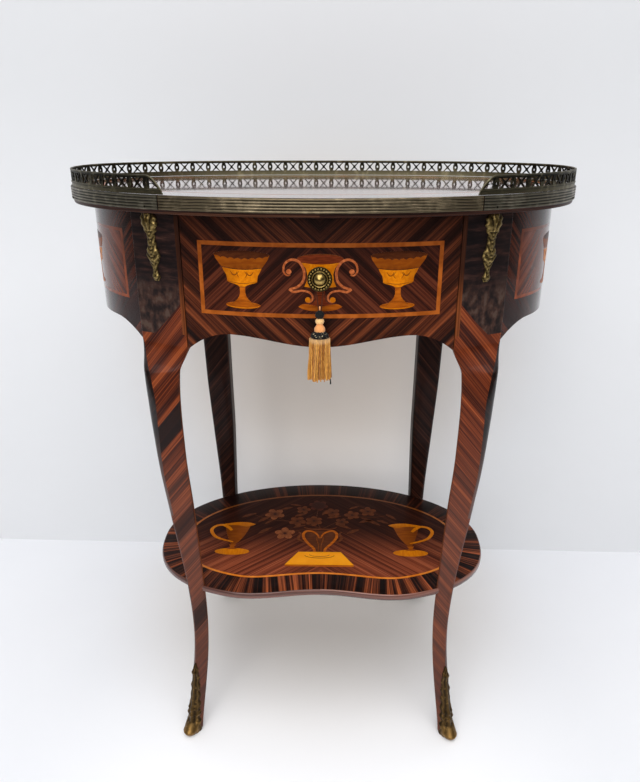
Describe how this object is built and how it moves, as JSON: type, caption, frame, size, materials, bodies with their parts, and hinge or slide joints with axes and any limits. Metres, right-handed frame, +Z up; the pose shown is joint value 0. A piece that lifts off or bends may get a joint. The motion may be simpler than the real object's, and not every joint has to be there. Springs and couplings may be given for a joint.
{
  "type": "marquetry centre table",
  "caption": "Small oval marquetry table with a pierced brass gallery, a bowed drawer with a tasselled knob, cabriole legs with gilt mounts and a kidney-shaped undershelf.",
  "frame": {"origin": "middle of the footprint, on the floor, without the tassel", "axes": "+Z up, -Y out of the drawer front, +X to the right as seen from the front"},
  "size_m": [0.6098, 0.3386, 0.7402],
  "materials": {
    "rosewood": "red-brown rosewood veneer with marquetry, lacquered to a gloss",
    "plain_wood": "plain sawn and planed carcase wood, waxed",
    "old_brass": "dark aged brass",
    "gilt_brass": "gilt cast brass, worn and toned",
    "steel": "plain steel fixings",
    "gold_silk": "golden silk strands",
    "peach_silk": "peach silk winding",
    "dark_silk": "dark silk cord and braid"
  },
  "bodies": {
    "carcase": {"top_board": "rosewood", "edge_band_front": "old_brass", "edge_band_back": "old_brass", "gallery": "old_brass", "leg_front_left": "rosewood", "leg_front_right": "rosewood", "leg_back_left": "rosewood", "leg_back_right": "rosewood", "apron_left": "rosewood", "apron_right": "rosewood", "apron_back": "rosewood", "rail_front_lower": "plain_wood", "rail_front_upper": "plain_wood", "shelf": "rosewood", "shelf_dowel_front_left": "plain_wood", "shelf_dowel_front_right": "plain_wood", "shelf_dowel_back_left": "plain_wood", "shelf_dowel_back_right": "plain_wood", "drawer_runner_left": "plain_wood", "drawer_runner_right": "plain_wood", "drawer_kicker_left": "plain_wood", "drawer_kicker_right": "plain_wood", "chute_front_left": "gilt_brass", "chute_front_right": "gilt_brass", "chute_back_left": "gilt_brass", "chute_back_right": "gilt_brass", "sabot_front_left": "gilt_brass", "sabot_front_right": "gilt_brass", "sabot_back_left": "gilt_brass", "sabot_back_right": "gilt_brass", "top_screw_front_left": "steel", "top_screw_front_right": "steel", "top_screw_back_left": "steel", "top_screw_back_right": "steel", "glue_block_left": "plain_wood", "glue_block_right": "plain_wood", "glue_block_back": "plain_wood"},
    "drawer": {"drawer_front": "rosewood", "drawer_side_left": "plain_wood", "drawer_side_right": "plain_wood", "drawer_back": "plain_wood", "drawer_bottom": "plain_wood", "knob_base": "gilt_brass", "knob_head": "gilt_brass", "knob_bolt": "steel", "knob_nut": "steel"},
    "tassel": {"tassel_cord": "dark_silk", "tassel_knot": "dark_silk", "tassel_head": "peach_silk", "tassel_collar": "dark_silk", "tassel_skirt": "gold_silk"}
  },
  "joints": [
    {"name": "drawer_slide", "type": "slide", "parent": "carcase", "child": "drawer", "axis": [0, -1, 0], "range_m": [0, 0.15]},
    {"name": "tassel_swing", "type": "hinge", "parent": "drawer", "child": "tassel", "pos_m": [0, -0.14755, 0.64], "axis": [0, 1, 0], "range_deg": [-35, 35]}
  ]
}
